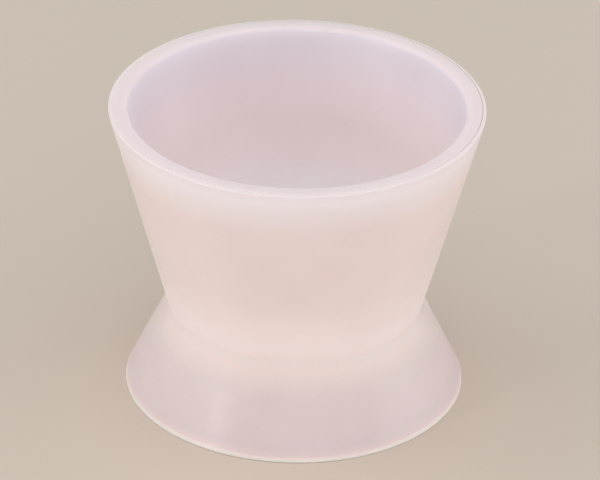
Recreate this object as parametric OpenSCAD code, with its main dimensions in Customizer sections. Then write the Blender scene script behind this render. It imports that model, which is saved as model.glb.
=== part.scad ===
// Resin mixing cup: an hourglass of soft, translucent silicone rubber, moulded in one piece.
// A deep bowl stands on a flared, hollow foot, and the two share one floor at the waist.
// The origin is the centre of the ring that the cup stands on, and Z points up out of the bowl.

/* [Bowl] */
// Outside diameter of the rim, before its edge is rounded
rim_d = 54.2; // [46:0.1:66]
// Height of the bowl, from the waist crease up to the rim
bowl_h = 31.7; // [22:0.1:45]
// Width of the flat top of the rim, which sets the bowl's wall
rim_w = 2.8; // [1.6:0.05:4]
// Height of the bowl's floor above the waist crease
floor_rise = 3.4; // [1:0.1:8]
// Radius that blends the bowl's wall into its floor
floor_blend_r = 12; // [3:0.5:16]

/* [Waist] */
// Outside diameter at the waist crease
waist_d = 37.1; // [30:0.1:44]
// Radius at the bottom of the crease
crease_r = 0.3; // [0.1:0.05:1.5]

/* [Foot] */
// Outside diameter of the foot at the table, before its edge is rounded
foot_d = 49.6; // [42:0.1:62]
// Height of the foot, from the table up to the waist crease
foot_h = 13.2; // [9:0.1:20]
// Width of the flat ring that the foot stands on, which sets the foot's wall
ring_w = 2.4; // [1.4:0.1:4]
// Depth of the hollow's roof below the waist crease
roof_drop = 2.8; // [1:0.1:5]
// Radius that blends the hollow's wall into its roof
roof_blend_r = 3; // [1:0.5:6]

/* [Edges] */
// Radius on the rim's outer edge
rim_outer_r = 0.3; // [0.1:0.05:0.8]
// Radius on the rim's inner edge
rim_inner_r = 0.5; // [0.1:0.05:1]
// Radius on the foot's outer edge
foot_outer_r = 0.4; // [0.1:0.05:1]
// Radius on the foot's inner edge
foot_inner_r = 0.4; // [0.1:0.05:1]

/* [Hidden] */
$fn = 180;

// Heights above the table
height = foot_h + bowl_h;
floor_z = foot_h + floor_rise;
roof_z = foot_h - roof_drop;

// How far each wall leans out over each millimetre of its height
bowl_lean = (rim_d - waist_d) / 2 / bowl_h;
foot_lean = (foot_d - waist_d) / 2 / foot_h;

// The inside walls run parallel to the outside ones
floor_r = rim_d / 2 - rim_w - (height - floor_z) * bowl_lean;
roof_r = foot_d / 2 - ring_w - roof_z * foot_lean;

// The share of its shorter edge that a rounding may take, which is less where both ends are rounded
SHARED = 0.45;
ALONE = 0.9;

// How far a corner's waste goes past the corner, and how much larger than its radius its circle is
MARGIN = 0.25;
CROSSING = 1.002;

// The half section, anticlockwise from the hollow's roof: each corner's point, radius and share
SECTION = [
    [[0, roof_z], 0, SHARED],
    [[roof_r, roof_z], roof_blend_r, ALONE],
    [[foot_d / 2 - ring_w, 0], foot_inner_r, SHARED],
    [[foot_d / 2, 0], foot_outer_r, SHARED],
    [[waist_d / 2, foot_h], crease_r, SHARED],
    [[rim_d / 2, height], rim_outer_r, SHARED],
    [[rim_d / 2 - rim_w, height], rim_inner_r, SHARED],
    [[floor_r, floor_z], floor_blend_r, ALONE],
    [[0, floor_z], 0, SHARED],
];

function unit(v) = v / norm(v);

// The three points around corner i of a closed outline
function around(outline, i) =
    let (n = len(outline))
    [outline[(i + n - 1) % n][0], outline[i][0], outline[(i + 1) % n][0]];

// An outward corner of an anticlockwise outline turns left
function turns_left(p) = cross(p[1] - p[0], p[2] - p[1]) > 0;

// The centre and radius of a rounding, and where it meets the corner's two edges.
// The radius is held to what the shorter edge has room for.
function rounding(p, r, share) =
    let (back = unit(p[0] - p[1]))
    let (ahead = unit(p[2] - p[1]))
    let (half_angle = acos(back * ahead) / 2)
    let (room = share * min(norm(p[0] - p[1]), norm(p[2] - p[1])))
    let (reach = min(r / tan(half_angle), room))
    let (radius = reach * tan(half_angle))
    [
        p[1] + unit(back + ahead) * radius / sin(half_angle),
        radius,
        p[1] + back * reach,
        p[1] + ahead * reach,
    ];

// What lies between a sharp corner and its rounding, with a margin past the corner.
// The circle is a hair large, so that it crosses the edges instead of only touching them.
module corner_waste(p, r, share) {
    fit = rounding(p, r, share);
    centre = fit[0];
    spread = 1 + MARGIN / fit[1];
    ends = turns_left(p) ? [fit[2], fit[3]] : [fit[3], fit[2]];
    difference() {
        polygon([for (q = [centre, ends[0], p[1], ends[1]]) centre + (q - centre) * spread]);
        translate(centre) circle(r = fit[1] * CROSSING);
    }
}

module corners(outline, outward) {
    for (i = [0 : len(outline) - 1]) {
        p = around(outline, i);
        if (outline[i][1] > 0 && turns_left(p) == outward)
            corner_waste(p, outline[i][1], outline[i][2]);
    }
}

// An outline with true arcs: its inward corners are filled, and its outward ones are cut back
module rounded(outline) {
    difference() {
        union() {
            polygon([for (corner = outline) corner[0]]);
            corners(outline, outward = false);
        }
        corners(outline, outward = true);
    }
}

module cup() {
    color([0.88, 0.82, 0.81]) rotate_extrude() rounded(SECTION);
}

cup();
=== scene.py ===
"""A mixing cup of soft, translucent silicone rubber, dressed for a studio picture.

The cup is one moulding. Its section is laid out with a few corners, each corner is rounded,
and the section is spun about the cup's axis.
"""

import math

import bmesh
import bpy
from bpy.props import FloatProperty, FloatVectorProperty, IntProperty, PointerProperty
from bpy.types import Operator, Panel, PropertyGroup
from mathutils import Matrix, Vector
from mathutils.bvhtree import BVHTree


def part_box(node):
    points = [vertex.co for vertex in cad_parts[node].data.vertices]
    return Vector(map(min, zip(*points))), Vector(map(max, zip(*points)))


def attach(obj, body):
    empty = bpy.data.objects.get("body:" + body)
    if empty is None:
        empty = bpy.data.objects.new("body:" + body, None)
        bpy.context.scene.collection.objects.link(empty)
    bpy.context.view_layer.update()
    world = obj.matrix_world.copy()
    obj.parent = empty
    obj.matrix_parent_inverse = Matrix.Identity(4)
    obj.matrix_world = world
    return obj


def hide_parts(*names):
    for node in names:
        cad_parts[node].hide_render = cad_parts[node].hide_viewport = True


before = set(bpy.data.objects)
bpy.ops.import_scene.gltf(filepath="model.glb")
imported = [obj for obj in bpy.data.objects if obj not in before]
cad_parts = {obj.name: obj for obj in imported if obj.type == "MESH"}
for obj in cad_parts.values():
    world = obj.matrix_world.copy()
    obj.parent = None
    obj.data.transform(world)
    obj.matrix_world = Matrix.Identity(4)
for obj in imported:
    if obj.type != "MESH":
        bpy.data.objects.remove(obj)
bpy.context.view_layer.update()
CUP_LOW, CUP_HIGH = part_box("cup")

bl_info = {
    "name": "Mixing Cup",
    "version": (1, 0, 0),
    "blender": (4, 5, 0),
    "location": "View3D > Sidebar > Mixing Cup",
    "description": "Builds a silicone mixing cup, its rubber and its studio",
    "category": "Add Mesh",
}

MM = 0.001

# The mesh: how close two points are one, the steps round a rounded corner, the rays cast into the
# rubber behind each point, how far under the skin they start, and the decimals that a ring shares
SAME_POINT = 0.001 * MM
CORNER_STEPS = 10
RAYS = 96
RAY_START = 0.02 * MM
RING_DIGITS = 7

# What each point of the mesh is marked with, for the rubber
DEPTH_MARK = "rubber_depth"
SIDE_MARK = "wall_side"
GROOVE_SHADE_MARK = "groove"

# The groove's painted shade: the shares of its depth between which it lies, its mean strength round the
# rim, and how much it grows to the back right
GROOVE_SHALLOW = 0.05
GROOVE_DEEP = 1.1
GROOVE_SHADE_MEAN = 0.2
GROOVE_SHADE_SWING = 0.6

# Depths below the top between which the rim's tones fade in: painted shade inside under the rim, painted
# light outside under it, and painted shade on the rim
INSIDE_SHADE_FADE = (13.0 * MM, 1.0 * MM)
INSIDE_RIM_SHADE_FADE = (0.6 * MM, 0.1 * MM)
OUTSIDE_LIGHT_FADE = (9.0 * MM, 1.0 * MM)
OUTSIDE_RIM_SHADE_FADE = (1.8 * MM, 0.2 * MM)

# Heights above the crease between which the bowl's tones fade in: the floor's painted light, the bowl's
# own tones, and the painted light along the crease
FLOOR_LIGHT_FADE = (19.5 * MM, 7.0 * MM)
BOWL_FADE = (-2.0 * MM, 2.0 * MM)
OVER_CREASE_LIGHT_FADE = (1.5 * MM, 0.0)
UNDER_CREASE_LIGHT_FADE = (-1.5 * MM, 0.0)

# Heights above the table between which the edge's painted light fades in, and its short scatter fades out
TABLE_LIGHT_FADE = (0.9 * MM, 0.3 * MM)
EDGE_SCATTER_FADE = (0.4 * MM, 2.2 * MM)

# Depths of rubber between which the thick rubber's painted light and its scatter fade in
THICK_BOWL_LIGHT_FADE = (5.2 * MM, 7.6 * MM)
THICK_FOOT_LIGHT_FADE = (4.2 * MM, 8.0 * MM)
WAIST_SCATTER_FADE = (5.2 * MM, 8.0 * MM)

# The rubber's body and skin: its refraction, how far red, green and blue light spread beside each
# other, the range that a noise's values mostly fill, and the noises, each with its scale in waves a
# metre
RUBBER_IOR = 1.41
SCATTER_OF_COLOURS = (1.0, 0.92, 0.88)
NOISE_REACH = (0.3, 0.7)
CLOUD_SCALE = 90.0
CLOUD_DETAIL = 3.0
CLOUD_STRENGTH = 0.015
SATIN_SCALE = 260.0
SATIN_DETAIL = 4.0
SATIN_CHANGE = 0.04
RIPPLE_SCALE = 380.0
RIPPLE_HEIGHT = 0.012 * MM
GRAIN_SCALE = 9000.0
GRAIN_HEIGHT = 0.004 * MM

# The studio: the width of the camera's sensor in millimetres, the point that the lamps face, and the
# soft boxes, each with a name, a place, a width and height, and a power in watts
SENSOR_WIDTH = 36.0
LAMP_AIM = (0.0, 0.0, 0.02)
LAMPS = (
    ("front", (0.3, -1.0, 0.75), (1.4, 1.4), 3.8),
    ("front_low", (0.0, -1.3, 0.3), (0.8, 0.5), 0.6),
    ("front_left", (-0.9, -0.9, 0.4), (0.9, 0.6), 0.9),
    ("left", (-1.2, -0.1, 0.5), (1.2, 0.8), 2.1),
    ("upper_left", (-0.75, 0.15, 0.95), (0.7, 0.7), 1.3),
    ("right", (1.2, -0.1, 0.5), (1.2, 0.8), 3.35),
    ("right_low", (1.25, -0.1, 0.14), (1.0, 0.24), 0.9),
    ("strip", (-0.71, -0.52, 0.27), (0.06, 0.2), 0.75),
)


class CupSizes(PropertyGroup):
    """Sizes of the moulding. The height and the largest diameter come from the frame"""

    waist_radius: FloatProperty(
        name="Waist radius",
        description="Outside radius at the crease",
        default=18.55 * MM,
        unit="LENGTH",
    )
    foot_height: FloatProperty(
        name="Foot height",
        description="Height of the crease above the table",
        default=13.2 * MM,
        unit="LENGTH",
    )
    foot_radius: FloatProperty(
        name="Foot radius",
        description="Outside radius of the foot before its edge is rounded",
        default=24.8 * MM,
        unit="LENGTH",
    )
    rim_width: FloatProperty(
        name="Rim width",
        description="Width of the flat rim before its edges are rounded",
        default=2.8 * MM,
        unit="LENGTH",
    )
    ring_width: FloatProperty(
        name="Ring width",
        description="Width of the ring that the foot stands on",
        default=2.4 * MM,
        unit="LENGTH",
    )
    floor_rise: FloatProperty(
        name="Floor rise",
        description="Height of the bowl's floor above the crease",
        default=3.4 * MM,
        unit="LENGTH",
    )
    roof_drop: FloatProperty(
        name="Roof drop",
        description="Depth of the hollow's roof below the crease",
        default=2.8 * MM,
        unit="LENGTH",
    )
    floor_blend: FloatProperty(
        name="Floor blend",
        description="Radius between the bowl's wall and its floor",
        default=12.0 * MM,
        unit="LENGTH",
    )
    roof_blend: FloatProperty(
        name="Roof blend",
        description="Radius between the hollow's wall and its roof",
        default=3.0 * MM,
        unit="LENGTH",
    )
    crease_blend: FloatProperty(
        name="Crease blend",
        description="How far each side of the crease its shading blends, as it does in soft rubber",
        default=6.0 * MM,
        unit="LENGTH",
    )
    rim_outer_radius: FloatProperty(
        name="Rim's outer edge",
        description="Radius on the rim's outer edge",
        default=0.3 * MM,
        unit="LENGTH",
    )
    rim_inner_radius: FloatProperty(
        name="Rim's inner edge",
        description="Radius on the rim's inner edge",
        default=0.8 * MM,
        unit="LENGTH",
    )
    foot_edge_radius: FloatProperty(
        name="Foot's edges",
        description="Radius on both edges of the foot's ring",
        default=0.15 * MM,
        unit="LENGTH",
    )
    lip_width: FloatProperty(
        name="Lip width",
        description="Width of the thin lip that the mould's joint leaves along the rim's outer edge",
        default=0.5 * MM,
        unit="LENGTH",
    )
    groove_width: FloatProperty(
        name="Groove width",
        description="Width of the fine groove inside the lip",
        default=0.2 * MM,
        unit="LENGTH",
    )
    groove_depth: FloatProperty(
        name="Groove depth",
        description="Depth of the fine groove inside the lip",
        default=0.2 * MM,
        unit="LENGTH",
    )
    lean: FloatProperty(
        name="Lean",
        description="How far the soft rim sits to the left of the foot's centre",
        default=0.15 * MM,
        unit="LENGTH",
    )
    light_reach: FloatProperty(
        name="Light's reach",
        description="Rubber behind a point counts towards its tone up to this depth",
        default=12.0 * MM,
        unit="LENGTH",
    )
    mesh_step: FloatProperty(
        name="Mesh step",
        description="Longest edge along the section",
        default=0.8 * MM,
        unit="LENGTH",
    )
    turns: IntProperty(
        name="Steps round",
        description="Number of steps in a full turn",
        default=256,
        min=16,
    )


class RubberFinish(PropertyGroup):
    """Colour and finish of the rubber, with tones of painted light and painted shade"""

    outside_colour: FloatVectorProperty(
        name="Outside",
        description="Outside of the bowl, where its wall is thin",
        subtype="COLOR",
        size=3,
        default=(0.804, 0.685, 0.668),
    )
    # Painted light: the outside close under the rim is paler, standing in for light from the bowl coming
    # through the wall
    outside_rim_light_colour: FloatVectorProperty(
        name="Outside at the rim",
        description="Outside of the bowl close under the rim",
        subtype="COLOR",
        size=3,
        default=(0.842, 0.758, 0.784),
    )
    # Painted shade: the rim and its edges are a darker copy of the rubber, holding back the light that the
    # level rim catches
    rim_shade_colour: FloatVectorProperty(
        name="Rim",
        description="The flat rim and the skin just below it",
        subtype="COLOR",
        size=3,
        default=(0.762, 0.648, 0.674),
    )
    inside_colour: FloatVectorProperty(
        name="Inside",
        description="Inside of the bowl",
        subtype="COLOR",
        size=3,
        default=(0.785, 0.690, 0.697),
    )
    # Painted shade: the inside grows darker and cooler towards the rim
    inside_rim_shade_colour: FloatVectorProperty(
        name="Inside at the rim",
        description="Inside of the bowl close under the rim",
        subtype="COLOR",
        size=3,
        default=(0.665, 0.612, 0.668),
    )
    # Painted light: the bowl's floor and the blend above it are brighter
    floor_colour: FloatVectorProperty(
        name="Bowl floor",
        description="Floor of the bowl and the blend above it",
        subtype="COLOR",
        size=3,
        default=(0.995, 0.874, 0.892),
    )
    # Painted light: the bright warm band of the waist, where light gathers in the thick rubber
    waist_light_colour: FloatVectorProperty(
        name="Waist",
        description="Outside of the bowl where the rubber behind it is thick",
        subtype="COLOR",
        size=3,
        default=(0.882, 0.784, 0.770),
    )
    foot_colour: FloatVectorProperty(
        name="Foot",
        description="The foot, where its wall is thin",
        subtype="COLOR",
        size=3,
        default=(0.815, 0.628, 0.627),
    )
    # Painted light: the foot's top is brighter, lifting the shade under the bowl's overhang
    foot_top_light_colour: FloatVectorProperty(
        name="Foot at the waist",
        description="The foot where the rubber behind it is thick",
        subtype="COLOR",
        size=3,
        default=(0.985, 0.760, 0.728),
    )
    # Painted light: the crease is lighter, lifting the shade where the skin turns
    crease_light_colour: FloatVectorProperty(
        name="Crease",
        description="The fine line of the crease, where the skin turns and less light falls",
        subtype="COLOR",
        size=3,
        default=(0.940, 0.803, 0.776),
    )
    # Painted light: a pale line along the foot's edge at the table
    foot_edge_light_colour: FloatVectorProperty(
        name="Foot at the table",
        description="The foot's edge close to the table",
        subtype="COLOR",
        size=3,
        default=(0.945, 0.797, 0.726),
    )
    # Painted shade: a dark line in the fine groove along the rim
    groove_shade_colour: FloatVectorProperty(
        name="Groove",
        description="The fine groove along the rim, where it is plainest",
        subtype="COLOR",
        size=3,
        default=(0.480, 0.380, 0.370),
    )
    scatter_depth: FloatProperty(
        name="Scatter depth",
        description="How far light spreads inside the rubber",
        default=7.0 * MM,
        unit="LENGTH",
    )
    waist_scatter_depth: FloatProperty(
        name="Waist scatter depth",
        description="How far light spreads in the thick rubber of the waist, which sends it back sooner",
        default=4.5 * MM,
        unit="LENGTH",
    )
    edge_scatter_depth: FloatProperty(
        name="Edge scatter depth",
        description="How far light spreads in the thin, matt edge at the table",
        default=1.2 * MM,
        unit="LENGTH",
    )
    roughness: FloatProperty(
        name="Roughness",
        description="Roughness of the satin surface",
        default=0.33,
        subtype="FACTOR",
    )


class StudioSettings(PropertyGroup):
    """Floor, sky and camera"""

    floor_colour: FloatVectorProperty(
        name="Floor colour",
        description="Colour of the plain floor",
        subtype="COLOR",
        size=3,
        default=(0.64, 0.56, 0.48),
    )
    floor_roughness: FloatProperty(
        name="Floor roughness",
        description="Roughness of the plain floor",
        default=0.9,
        subtype="FACTOR",
    )
    floor_reach: FloatProperty(
        name="Floor reach",
        description="How far the floor reaches from the cup",
        default=3.0,
        unit="LENGTH",
    )
    sky_colour: FloatVectorProperty(
        name="Sky colour",
        description="Colour of the soft light from all round",
        subtype="COLOR",
        size=3,
        default=(1.0, 1.0, 1.0),
    )
    sky_strength: FloatProperty(
        name="Sky strength",
        description="Strength of the soft light from all round",
        default=0.63,
    )
    camera_place: FloatVectorProperty(
        name="Camera place",
        description="Where the camera stands",
        subtype="XYZ",
        unit="LENGTH",
        size=3,
        default=(0.0, -604.2 * MM, 365.1 * MM),
    )
    camera_pan: FloatProperty(
        name="Camera pan",
        description="Turn of the view to the right",
        subtype="ANGLE",
        default=math.radians(0.054),
    )
    camera_tilt: FloatProperty(
        name="Camera tilt",
        description="Turn of the view below level",
        subtype="ANGLE",
        default=math.radians(29.54),
    )
    camera_roll: FloatProperty(
        name="Camera roll",
        description="Turn of the camera about its line of sight",
        subtype="ANGLE",
        default=math.radians(1.05),
    )
    camera_lens: FloatProperty(
        name="Camera lens",
        description="Focal length on a sensor 36 mm wide, in millimetres",
        default=287.3,
        unit="CAMERA",
    )


def corners_of_section(sizes):
    """The half section's sharp corners by name, each with its place and its rounding radius.

    They run from the hollow's roof round the foot, the crease and the rim to the bowl's floor.
    """
    top = CUP_HIGH.z
    crease_z = sizes.foot_height
    floor_z = crease_z + sizes.floor_rise
    roof_z = crease_z - sizes.roof_drop
    rim_radius = sharp_rim_radius(sizes)
    bowl_lean = (rim_radius - sizes.waist_radius) / (top - crease_z)
    foot_lean = (sizes.foot_radius - sizes.waist_radius) / crease_z
    over_crease = (sizes.waist_radius + sizes.crease_blend * bowl_lean, crease_z + sizes.crease_blend)
    under_crease = (sizes.waist_radius + sizes.crease_blend * foot_lean, crease_z - sizes.crease_blend)
    inner_rim = rim_radius - sizes.rim_width
    inner_ring = sizes.foot_radius - sizes.ring_width
    lip_in = rim_radius - sizes.lip_width
    groove_in = lip_in - sizes.groove_width
    groove_middle = (lip_in + groove_in) / 2
    groove_z = top - sizes.groove_depth
    groove_radius = sizes.groove_width / 4
    return {
        "roof_middle": ((0.0, roof_z), 0.0),
        "roof_edge": ((inner_ring - roof_z * foot_lean, roof_z), sizes.roof_blend),
        "ring_inside": ((inner_ring, 0.0), sizes.foot_edge_radius),
        "ring_outside": ((sizes.foot_radius, 0.0), sizes.foot_edge_radius),
        "under_crease": (under_crease, 0.0),
        "crease": ((sizes.waist_radius, crease_z), 0.0),
        "over_crease": (over_crease, 0.0),
        "rim_outside": ((rim_radius, top), sizes.rim_outer_radius),
        "lip": ((lip_in, top), groove_radius),
        "groove_bottom": ((groove_middle, groove_z), groove_radius),
        "groove_inside": ((groove_in, top), groove_radius),
        "rim_inside": ((inner_rim, top), sizes.rim_inner_radius),
        "floor_edge": ((inner_rim - (top - floor_z) * bowl_lean, floor_z), sizes.floor_blend),
        "floor_middle": ((0.0, floor_z), 0.0),
    }


def sharp_rim_radius(sizes):
    """The rim's radius at its sharp corner, a little more than the cup's own largest radius.

    Rounding the corner draws the largest radius in, to the one that the frame gives.
    """
    rounded = (CUP_HIGH.x - CUP_LOW.x) / 2
    lean = (rounded - sizes.waist_radius) / (CUP_HIGH.z - sizes.foot_height)
    half_angle = (math.pi / 2 - math.atan(lean)) / 2
    return rounded + sizes.rim_outer_radius * (1 / math.tan(half_angle) - 1)


def round_corner(mesh, corner, radius):
    """Rounds one corner of a flat outline with an arc of the given radius."""
    ends = [edge.other_vert(corner).co - corner.co for edge in corner.link_edges]
    half_angle = ends[0].angle(ends[1]) / 2
    bmesh.ops.bevel(
        mesh,
        geom=[corner],
        offset=radius / math.tan(half_angle),
        offset_type="OFFSET",
        segments=CORNER_STEPS,
        profile=0.5,
        affect="VERTICES",
        material=-1,
    )


def divide_long_edges(mesh, step, kept):
    """Divides each edge longer than a step into equal steps, apart from the edges at a kept point."""
    free = [edge for edge in mesh.edges if kept not in edge.verts]
    for edge in free:
        cuts = math.ceil(edge.calc_length() / step) - 1
        if cuts > 0:
            bmesh.ops.subdivide_edges(mesh, edges=[edge], cuts=cuts)


def add_section(mesh, sizes):
    """The half section as an open line of edges, from the axis round to the axis again.

    The edges beside the crease stay undivided, so that the shading blends along them.
    """
    corners = corners_of_section(sizes)
    points = {name: mesh.verts.new((r, 0.0, z)) for name, ((r, z), _) in corners.items()}
    mesh.faces.new(points.values())
    for name, (_, radius) in corners.items():
        if radius > 0:
            round_corner(mesh, points[name], radius)
    bmesh.ops.delete(mesh, geom=list(mesh.faces), context="FACES_ONLY")
    on_axis = [edge for edge in mesh.edges if all(v.co.x < SAME_POINT for v in edge.verts)]
    bmesh.ops.delete(mesh, geom=on_axis, context="EDGES")
    divide_long_edges(mesh, sizes.mesh_step, points["crease"])


def spin_section(mesh, turns):
    """Spins the half section into a closed skin whose faces point outwards."""
    bmesh.ops.spin(
        mesh,
        geom=list(mesh.verts) + list(mesh.edges),
        cent=(0.0, 0.0, 0.0),
        axis=(0.0, 0.0, 1.0),
        angle=math.tau,
        steps=turns,
        use_merge=True,
    )
    bmesh.ops.remove_doubles(mesh, verts=list(mesh.verts), dist=SAME_POINT)
    bmesh.ops.recalc_face_normals(mesh, faces=list(mesh.faces))
    mesh.normal_update()


def lean_matrix(lean, low, high):
    """A shear that moves what is at the high level to the left by lean, and leaves the low level still."""
    shear = Matrix.Identity(4)
    shear[0][2] = -lean / (high - low)
    shear[0][3] = lean * low / (high - low)
    return shear


def build_moulding(sizes):
    """The whole cup as one closed mesh, whose points are marked while it is round, before it leans."""
    mesh = bmesh.new()
    add_section(mesh, sizes)
    spin_section(mesh, sizes.turns)
    mark_rubber_depth(mesh, sizes.light_reach)
    mark_wall_side(mesh)
    mark_groove_shade(mesh, sizes)
    upper = [v for v in mesh.verts if v.co.z > sizes.foot_height]
    bmesh.ops.transform(
        mesh, matrix=lean_matrix(sizes.lean, sizes.foot_height, CUP_HIGH.z), verts=upper
    )
    for face in mesh.faces:
        face.smooth = True
    return mesh


def clamp(value):
    """The nearest value from 0 to 1."""
    return min(1.0, max(0.0, value))


def distance_from_axis(point):
    """How far a point of the mesh lies from the cup's axis."""
    return math.hypot(point.co.x, point.co.y)


def inward_directions(normal, count):
    """Directions into the rubber, spread round the inward normal as soft light spreads from a surface."""
    turn = (-normal).to_track_quat("Z", "Y")
    golden_angle = math.pi * (3 - math.sqrt(5))
    for step in range(count):
        aside = math.sqrt((step + 0.5) / count)
        along = math.sqrt(1 - aside * aside)
        angle = step * golden_angle
        yield turn @ Vector((aside * math.cos(angle), aside * math.sin(angle), along))


def depth_behind(tree, point, reach):
    """The mean length of rubber that soft light meets behind a point, up to a reach."""
    start = point.co - point.normal * RAY_START
    hits = [tree.ray_cast(start, way, reach)[3] for way in inward_directions(point.normal, RAYS)]
    return sum(reach if hit is None else hit for hit in hits) / len(hits)


def mark_rubber_depth(mesh, reach):
    """Marks each point with the depth of rubber behind it, which is the same all round a ring."""
    tree = BVHTree.FromBMesh(mesh)
    layer = mesh.verts.layers.float.new(DEPTH_MARK)
    found = {}
    for point in mesh.verts:
        ring = (round(distance_from_axis(point), RING_DIGITS), round(point.co.z, RING_DIGITS))
        if ring not in found:
            found[ring] = depth_behind(tree, point, reach)
        point[layer] = found[ring]


def mark_wall_side(mesh):
    """Marks each point with 1 where the skin faces out, 0 where it faces in and 0.5 where it is level."""
    layer = mesh.verts.layers.float.new(SIDE_MARK)
    for point in mesh.verts:
        outward = point.co * Vector((1.0, 1.0, 0.0))
        facing = point.normal.dot(outward.normalized())
        point[layer] = clamp(0.5 + facing)


def mark_groove_shade(mesh, sizes):
    """Marks the painted shade of the fine groove on the rim, which is plainest at the back right and fades
    out opposite.
    """
    layer = mesh.verts.layers.float.new(GROOVE_SHADE_MARK)
    lip_in = sharp_rim_radius(sizes) - sizes.lip_width
    for point in mesh.verts:
        across = (lip_in - distance_from_axis(point)) / sizes.groove_width
        below = (CUP_HIGH.z - point.co.z) / sizes.groove_depth
        if 0.0 < across < 1.0 and GROOVE_SHALLOW < below < GROOVE_DEEP:
            to_back_right = (point.co.x + point.co.y) / lip_in
            point[layer] = clamp(GROOVE_SHADE_MEAN + to_back_right * GROOVE_SHADE_SWING)


def add_object(name, mesh):
    """Puts a finished bmesh into the scene as an object at the origin."""
    data = bpy.data.meshes.new(name)
    mesh.to_mesh(data)
    mesh.free()
    thing = bpy.data.objects.new(name, data)
    bpy.context.scene.collection.objects.link(thing)
    return thing


class NodeBoard:
    """Adds nodes to a material and joins them, so that each finish reads as a short list."""

    def __init__(self, name):
        self.material = bpy.data.materials.new(name)
        self.material.use_nodes = True
        self.nodes = self.material.node_tree.nodes
        self.links = self.material.node_tree.links
        self.shader = self.nodes["Principled BSDF"]
        self.where = self.add("ShaderNodeTexCoord").outputs["Object"]

    def add(self, kind, **inputs):
        node = self.nodes.new(kind)
        for name, value in inputs.items():
            self.feed(node.inputs[name], value)
        return node

    def feed(self, socket, value):
        """Links a socket to another node's output, or sets it to a plain value."""
        if isinstance(value, bpy.types.NodeSocket):
            self.links.new(value, socket)
        else:
            socket.default_value = value

    def set_plain(self, name, value):
        """Sets one of the shader's own sockets to a value that is the same all over."""
        self.shader.inputs[name].default_value = value

    def mark(self, name):
        """What the mesh's points are marked with."""
        node = self.nodes.new("ShaderNodeAttribute")
        node.attribute_name = name
        return node.outputs["Fac"]

    def height(self):
        """Height above the table."""
        return self.add("ShaderNodeSeparateXYZ", Vector=self.where).outputs["Z"]

    def noise(self, scale, detail=2.0):
        node = self.add("ShaderNodeTexNoise", Vector=self.where, Scale=scale, Detail=detail)
        return node.outputs["Fac"]

    def wander(self, scale, detail, low, high):
        """A value that wanders from low to high over the surface."""
        return self.map_range(self.noise(scale, detail), NOISE_REACH, (low, high))

    def map_range(self, value, span, onto=(0.0, 1.0), smooth=True):
        """Where a value lies in one span, laid onto another and held at its ends."""
        node = self.nodes.new("ShaderNodeMapRange")
        node.interpolation_type = "SMOOTHSTEP" if smooth else "LINEAR"
        self.feed(node.inputs["Value"], value)
        for name, number in zip(("From Min", "From Max", "To Min", "To Max"), (*span, *onto)):
            node.inputs[name].default_value = number
        return node.outputs["Result"]

    def mix(self, factor, first, second, blend="MIX"):
        node = self.nodes.new("ShaderNodeMix")
        node.data_type = "RGBA"
        node.blend_type = blend
        self.feed(node.inputs["Factor"], factor)
        self.feed(node.inputs["A"], first)
        self.feed(node.inputs["B"], second)
        return node.outputs["Result"]

    def math(self, operation, first, second):
        node = self.nodes.new("ShaderNodeMath")
        node.operation = operation
        self.feed(node.inputs[0], first)
        self.feed(node.inputs[1], second)
        return node.outputs["Value"]

    def bump(self, height, depth):
        return self.add("ShaderNodeBump", Height=height, Distance=depth)


def rgba(colour):
    """A colour with full opacity."""
    return (*colour, 1.0)


def below_top(span):
    """The heights that lie the given depths below the cup's top."""
    return [CUP_HIGH.z - depth for depth in span]


def above_crease(span, sizes):
    """The heights that lie the given amounts above the crease."""
    return [sizes.foot_height + rise for rise in span]


def inside_tone(board, finish, sizes):
    """Inside the bowl painted shade makes the rubber darker and cooler to the rim, and painted light makes
    it brighter to the floor.
    """
    level = board.height()
    inside_rim_shade = board.map_range(level, below_top(INSIDE_SHADE_FADE))
    floor_light = board.map_range(level, above_crease(FLOOR_LIGHT_FADE, sizes))
    rim_shade = board.map_range(level, below_top(INSIDE_RIM_SHADE_FADE))
    tone = board.mix(inside_rim_shade, rgba(finish.inside_colour), rgba(finish.inside_rim_shade_colour))
    tone = board.mix(floor_light, tone, rgba(finish.floor_colour))
    return board.mix(rim_shade, tone, rgba(finish.rim_shade_colour))


def outside_tone(board, finish):
    """Outside the bowl painted light makes it paler and cooler under the rim and brighter where the rubber
    behind it is thick, and painted shade darkens the rim.
    """
    level = board.height()
    outside_rim_light = board.map_range(level, below_top(OUTSIDE_LIGHT_FADE))
    thick = board.map_range(board.mark(DEPTH_MARK), THICK_BOWL_LIGHT_FADE, smooth=False)
    rim_shade = board.map_range(level, below_top(OUTSIDE_RIM_SHADE_FADE))
    tone = board.mix(outside_rim_light, rgba(finish.outside_colour), rgba(finish.outside_rim_light_colour))
    tone = board.mix(thick, tone, rgba(finish.waist_light_colour))
    return board.mix(rim_shade, tone, rgba(finish.rim_shade_colour))


def foot_tone(board, finish):
    """The foot has a painted pale edge at the table, and painted light where the rubber behind it is
    thick.
    """
    table_edge_light = board.map_range(board.height(), TABLE_LIGHT_FADE)
    thick = board.map_range(board.mark(DEPTH_MARK), THICK_FOOT_LIGHT_FADE, smooth=False)
    tone = board.mix(table_edge_light, rgba(finish.foot_colour), rgba(finish.foot_edge_light_colour))
    return board.mix(thick, tone, rgba(finish.foot_top_light_colour))


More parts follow.
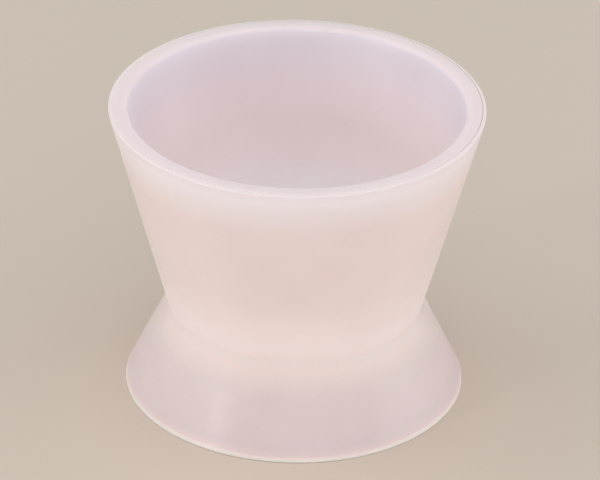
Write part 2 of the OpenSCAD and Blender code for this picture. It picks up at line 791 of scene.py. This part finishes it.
def rubber_tone(board, finish, sizes):
    """Thin rubber lets light through and looks darker and cooler. Painted light brightens the thick
    rubber, the floor, the skin under the rim, the crease and the edge at the table, and painted shade
    darkens the rim, the inside under it and the groove.
    """
    level = board.height()
    inside = inside_tone(board, finish, sizes)
    bowl = board.mix(board.mark(SIDE_MARK), inside, outside_tone(board, finish))
    above = board.map_range(level, above_crease(BOWL_FADE, sizes))
    tone = board.mix(above, foot_tone(board, finish), bowl)
    over = board.map_range(level, above_crease(OVER_CREASE_LIGHT_FADE, sizes))
    under = board.map_range(level, above_crease(UNDER_CREASE_LIGHT_FADE, sizes))
    # Painted light along the crease lifts the shade where the skin turns
    tone = board.mix(board.math("MINIMUM", over, under), tone, rgba(finish.crease_light_colour))
    # Painted shade darkens the fine groove along the rim
    return board.mix(board.mark(GROOVE_SHADE_MARK), tone, rgba(finish.groove_shade_colour))


def scatter_reach(board, finish):
    """How far light spreads: least in the edge at the table, and less in the waist than in the walls."""
    at_edge = board.map_range(
        board.height(), EDGE_SCATTER_FADE, (finish.edge_scatter_depth, finish.scatter_depth)
    )
    at_waist = board.map_range(
        board.mark(DEPTH_MARK), WAIST_SCATTER_FADE, (finish.scatter_depth, finish.waist_scatter_depth)
    )
    return board.math("MINIMUM", at_edge, at_waist)


def silicone(finish, sizes):
    """Milky rubber: light spreads inside it, and its satin skin has the mould's fine grain."""
    board = NodeBoard("silicone")
    shader = board.shader
    cloud = board.wander(CLOUD_SCALE, CLOUD_DETAIL, 1 - CLOUD_STRENGTH, 1 + CLOUD_STRENGTH)
    tone = board.mix(1.0, rubber_tone(board, finish, sizes), cloud, "MULTIPLY")
    board.feed(shader.inputs["Base Color"], tone)
    shader.subsurface_method = "RANDOM_WALK"
    board.set_plain("Subsurface Weight", 1.0)
    board.set_plain("Subsurface Radius", SCATTER_OF_COLOURS)
    board.set_plain("IOR", RUBBER_IOR)
    board.feed(shader.inputs["Subsurface Scale"], scatter_reach(board, finish))
    satin = board.wander(SATIN_SCALE, SATIN_DETAIL, -SATIN_CHANGE, SATIN_CHANGE)
    board.feed(shader.inputs["Roughness"], board.math("ADD", satin, finish.roughness))
    ripple = board.bump(board.noise(RIPPLE_SCALE), RIPPLE_HEIGHT)
    grain = board.bump(board.noise(GRAIN_SCALE), GRAIN_HEIGHT)
    board.feed(grain.inputs["Normal"], ripple.outputs["Normal"])
    board.feed(shader.inputs["Normal"], grain.outputs["Normal"])
    return board.material


class MIXINGCUP_OT_moulding(Operator):
    """Make the cup, its rubber and its link to the frame"""

    bl_idname = "mixing_cup.moulding"
    bl_label = "Moulding"

    def execute(self, context):
        sizes = context.scene.cup_sizes
        cup = add_object("cup_moulding", build_moulding(sizes))
        cup.data.materials.append(silicone(context.scene.cup_rubber, sizes))
        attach(cup, "root")
        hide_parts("cup")
        return {"FINISHED"}


def add_lamp(name, place, size, power):
    """A soft box of the given width and height at a place, facing the cup."""
    light = bpy.data.lights.new(name, "AREA")
    light.shape = "RECTANGLE"
    light.size, light.size_y = size
    light.energy = power
    lamp = bpy.data.objects.new(name, light)
    lamp.location = place
    lamp.rotation_euler = (Vector(LAMP_AIM) - Vector(place)).to_track_quat("-Z", "Y").to_euler()
    bpy.context.scene.collection.objects.link(lamp)


def add_sky(studio):
    """Even light from all round."""
    world = bpy.data.worlds.new("sky")
    world.use_nodes = True
    sky = world.node_tree.nodes["Background"]
    sky.inputs["Color"].default_value = rgba(studio.sky_colour)
    sky.inputs["Strength"].default_value = studio.sky_strength
    bpy.context.scene.world = world


def add_floor(studio):
    """A plain floor at table height."""
    mesh = bmesh.new()
    bmesh.ops.create_grid(mesh, x_segments=1, y_segments=1, size=studio.floor_reach)
    floor = add_object("floor", mesh)
    paint = NodeBoard("floor_paint")
    paint.set_plain("Base Color", rgba(studio.floor_colour))
    paint.set_plain("Roughness", studio.floor_roughness)
    floor.data.materials.append(paint.material)


def add_camera(studio):
    """The camera, turned by its pan, tilt and roll."""
    pan, tilt, roll = studio.camera_pan, studio.camera_tilt, studio.camera_roll
    ahead = Vector(
        (math.sin(pan) * math.cos(tilt), math.cos(pan) * math.cos(tilt), -math.sin(tilt))
    )
    right = Vector((math.cos(pan), -math.sin(pan), 0.0))
    up = right.cross(ahead)
    turned_right = math.cos(roll) * right + math.sin(roll) * up
    turned_up = math.cos(roll) * up - math.sin(roll) * right
    lens = bpy.data.cameras.new("camera")
    lens.sensor_fit = "HORIZONTAL"
    lens.sensor_width = SENSOR_WIDTH
    lens.lens = studio.camera_lens
    camera = bpy.data.objects.new("camera", lens)
    turn = Matrix((turned_right, turned_up, -ahead)).transposed().to_4x4()
    camera.matrix_world = Matrix.Translation(studio.camera_place) @ turn
    bpy.context.scene.collection.objects.link(camera)
    bpy.context.scene.camera = camera


class MIXINGCUP_OT_studio(Operator):
    """Make the floor, the soft light and the camera"""

    bl_idname = "mixing_cup.studio"
    bl_label = "Studio"

    def execute(self, context):
        studio = context.scene.cup_studio
        add_floor(studio)
        add_camera(studio)
        for name, place, size, power in LAMPS:
            add_lamp(name, place, size, power)
        add_sky(studio)
        context.scene.view_settings.view_transform = "Standard"
        return {"FINISHED"}


class MIXINGCUP_PT_panel(Panel):
    """Lists the operators and the settings"""

    bl_label = "Mixing Cup"
    bl_idname = "MIXINGCUP_PT_panel"
    bl_space_type = "VIEW_3D"
    bl_region_type = "UI"
    bl_category = "Mixing Cup"

    def draw(self, context):
        layout = self.layout
        for operator in OPERATORS:
            layout.operator(operator.bl_idname)
        for name in GROUPS:
            settings = getattr(context.scene, name)
            box = layout.box()
            for key in settings.__annotations__:
                box.prop(settings, key)


OPERATORS = (MIXINGCUP_OT_studio, MIXINGCUP_OT_moulding)
GROUPS = {"cup_sizes": CupSizes, "cup_rubber": RubberFinish, "cup_studio": StudioSettings}
CLASSES = (*GROUPS.values(), *OPERATORS, MIXINGCUP_PT_panel)


def register():
    for cls in CLASSES:
        bpy.utils.register_class(cls)
    for name, group in GROUPS.items():
        setattr(bpy.types.Scene, name, PointerProperty(type=group))


def unregister():
    for name in GROUPS:
        delattr(bpy.types.Scene, name)
    for cls in reversed(CLASSES):
        bpy.utils.unregister_class(cls)


def main():
    register()
    bpy.ops.mixing_cup.studio()
    bpy.ops.mixing_cup.moulding()


if __name__ == "__main__":
    main()
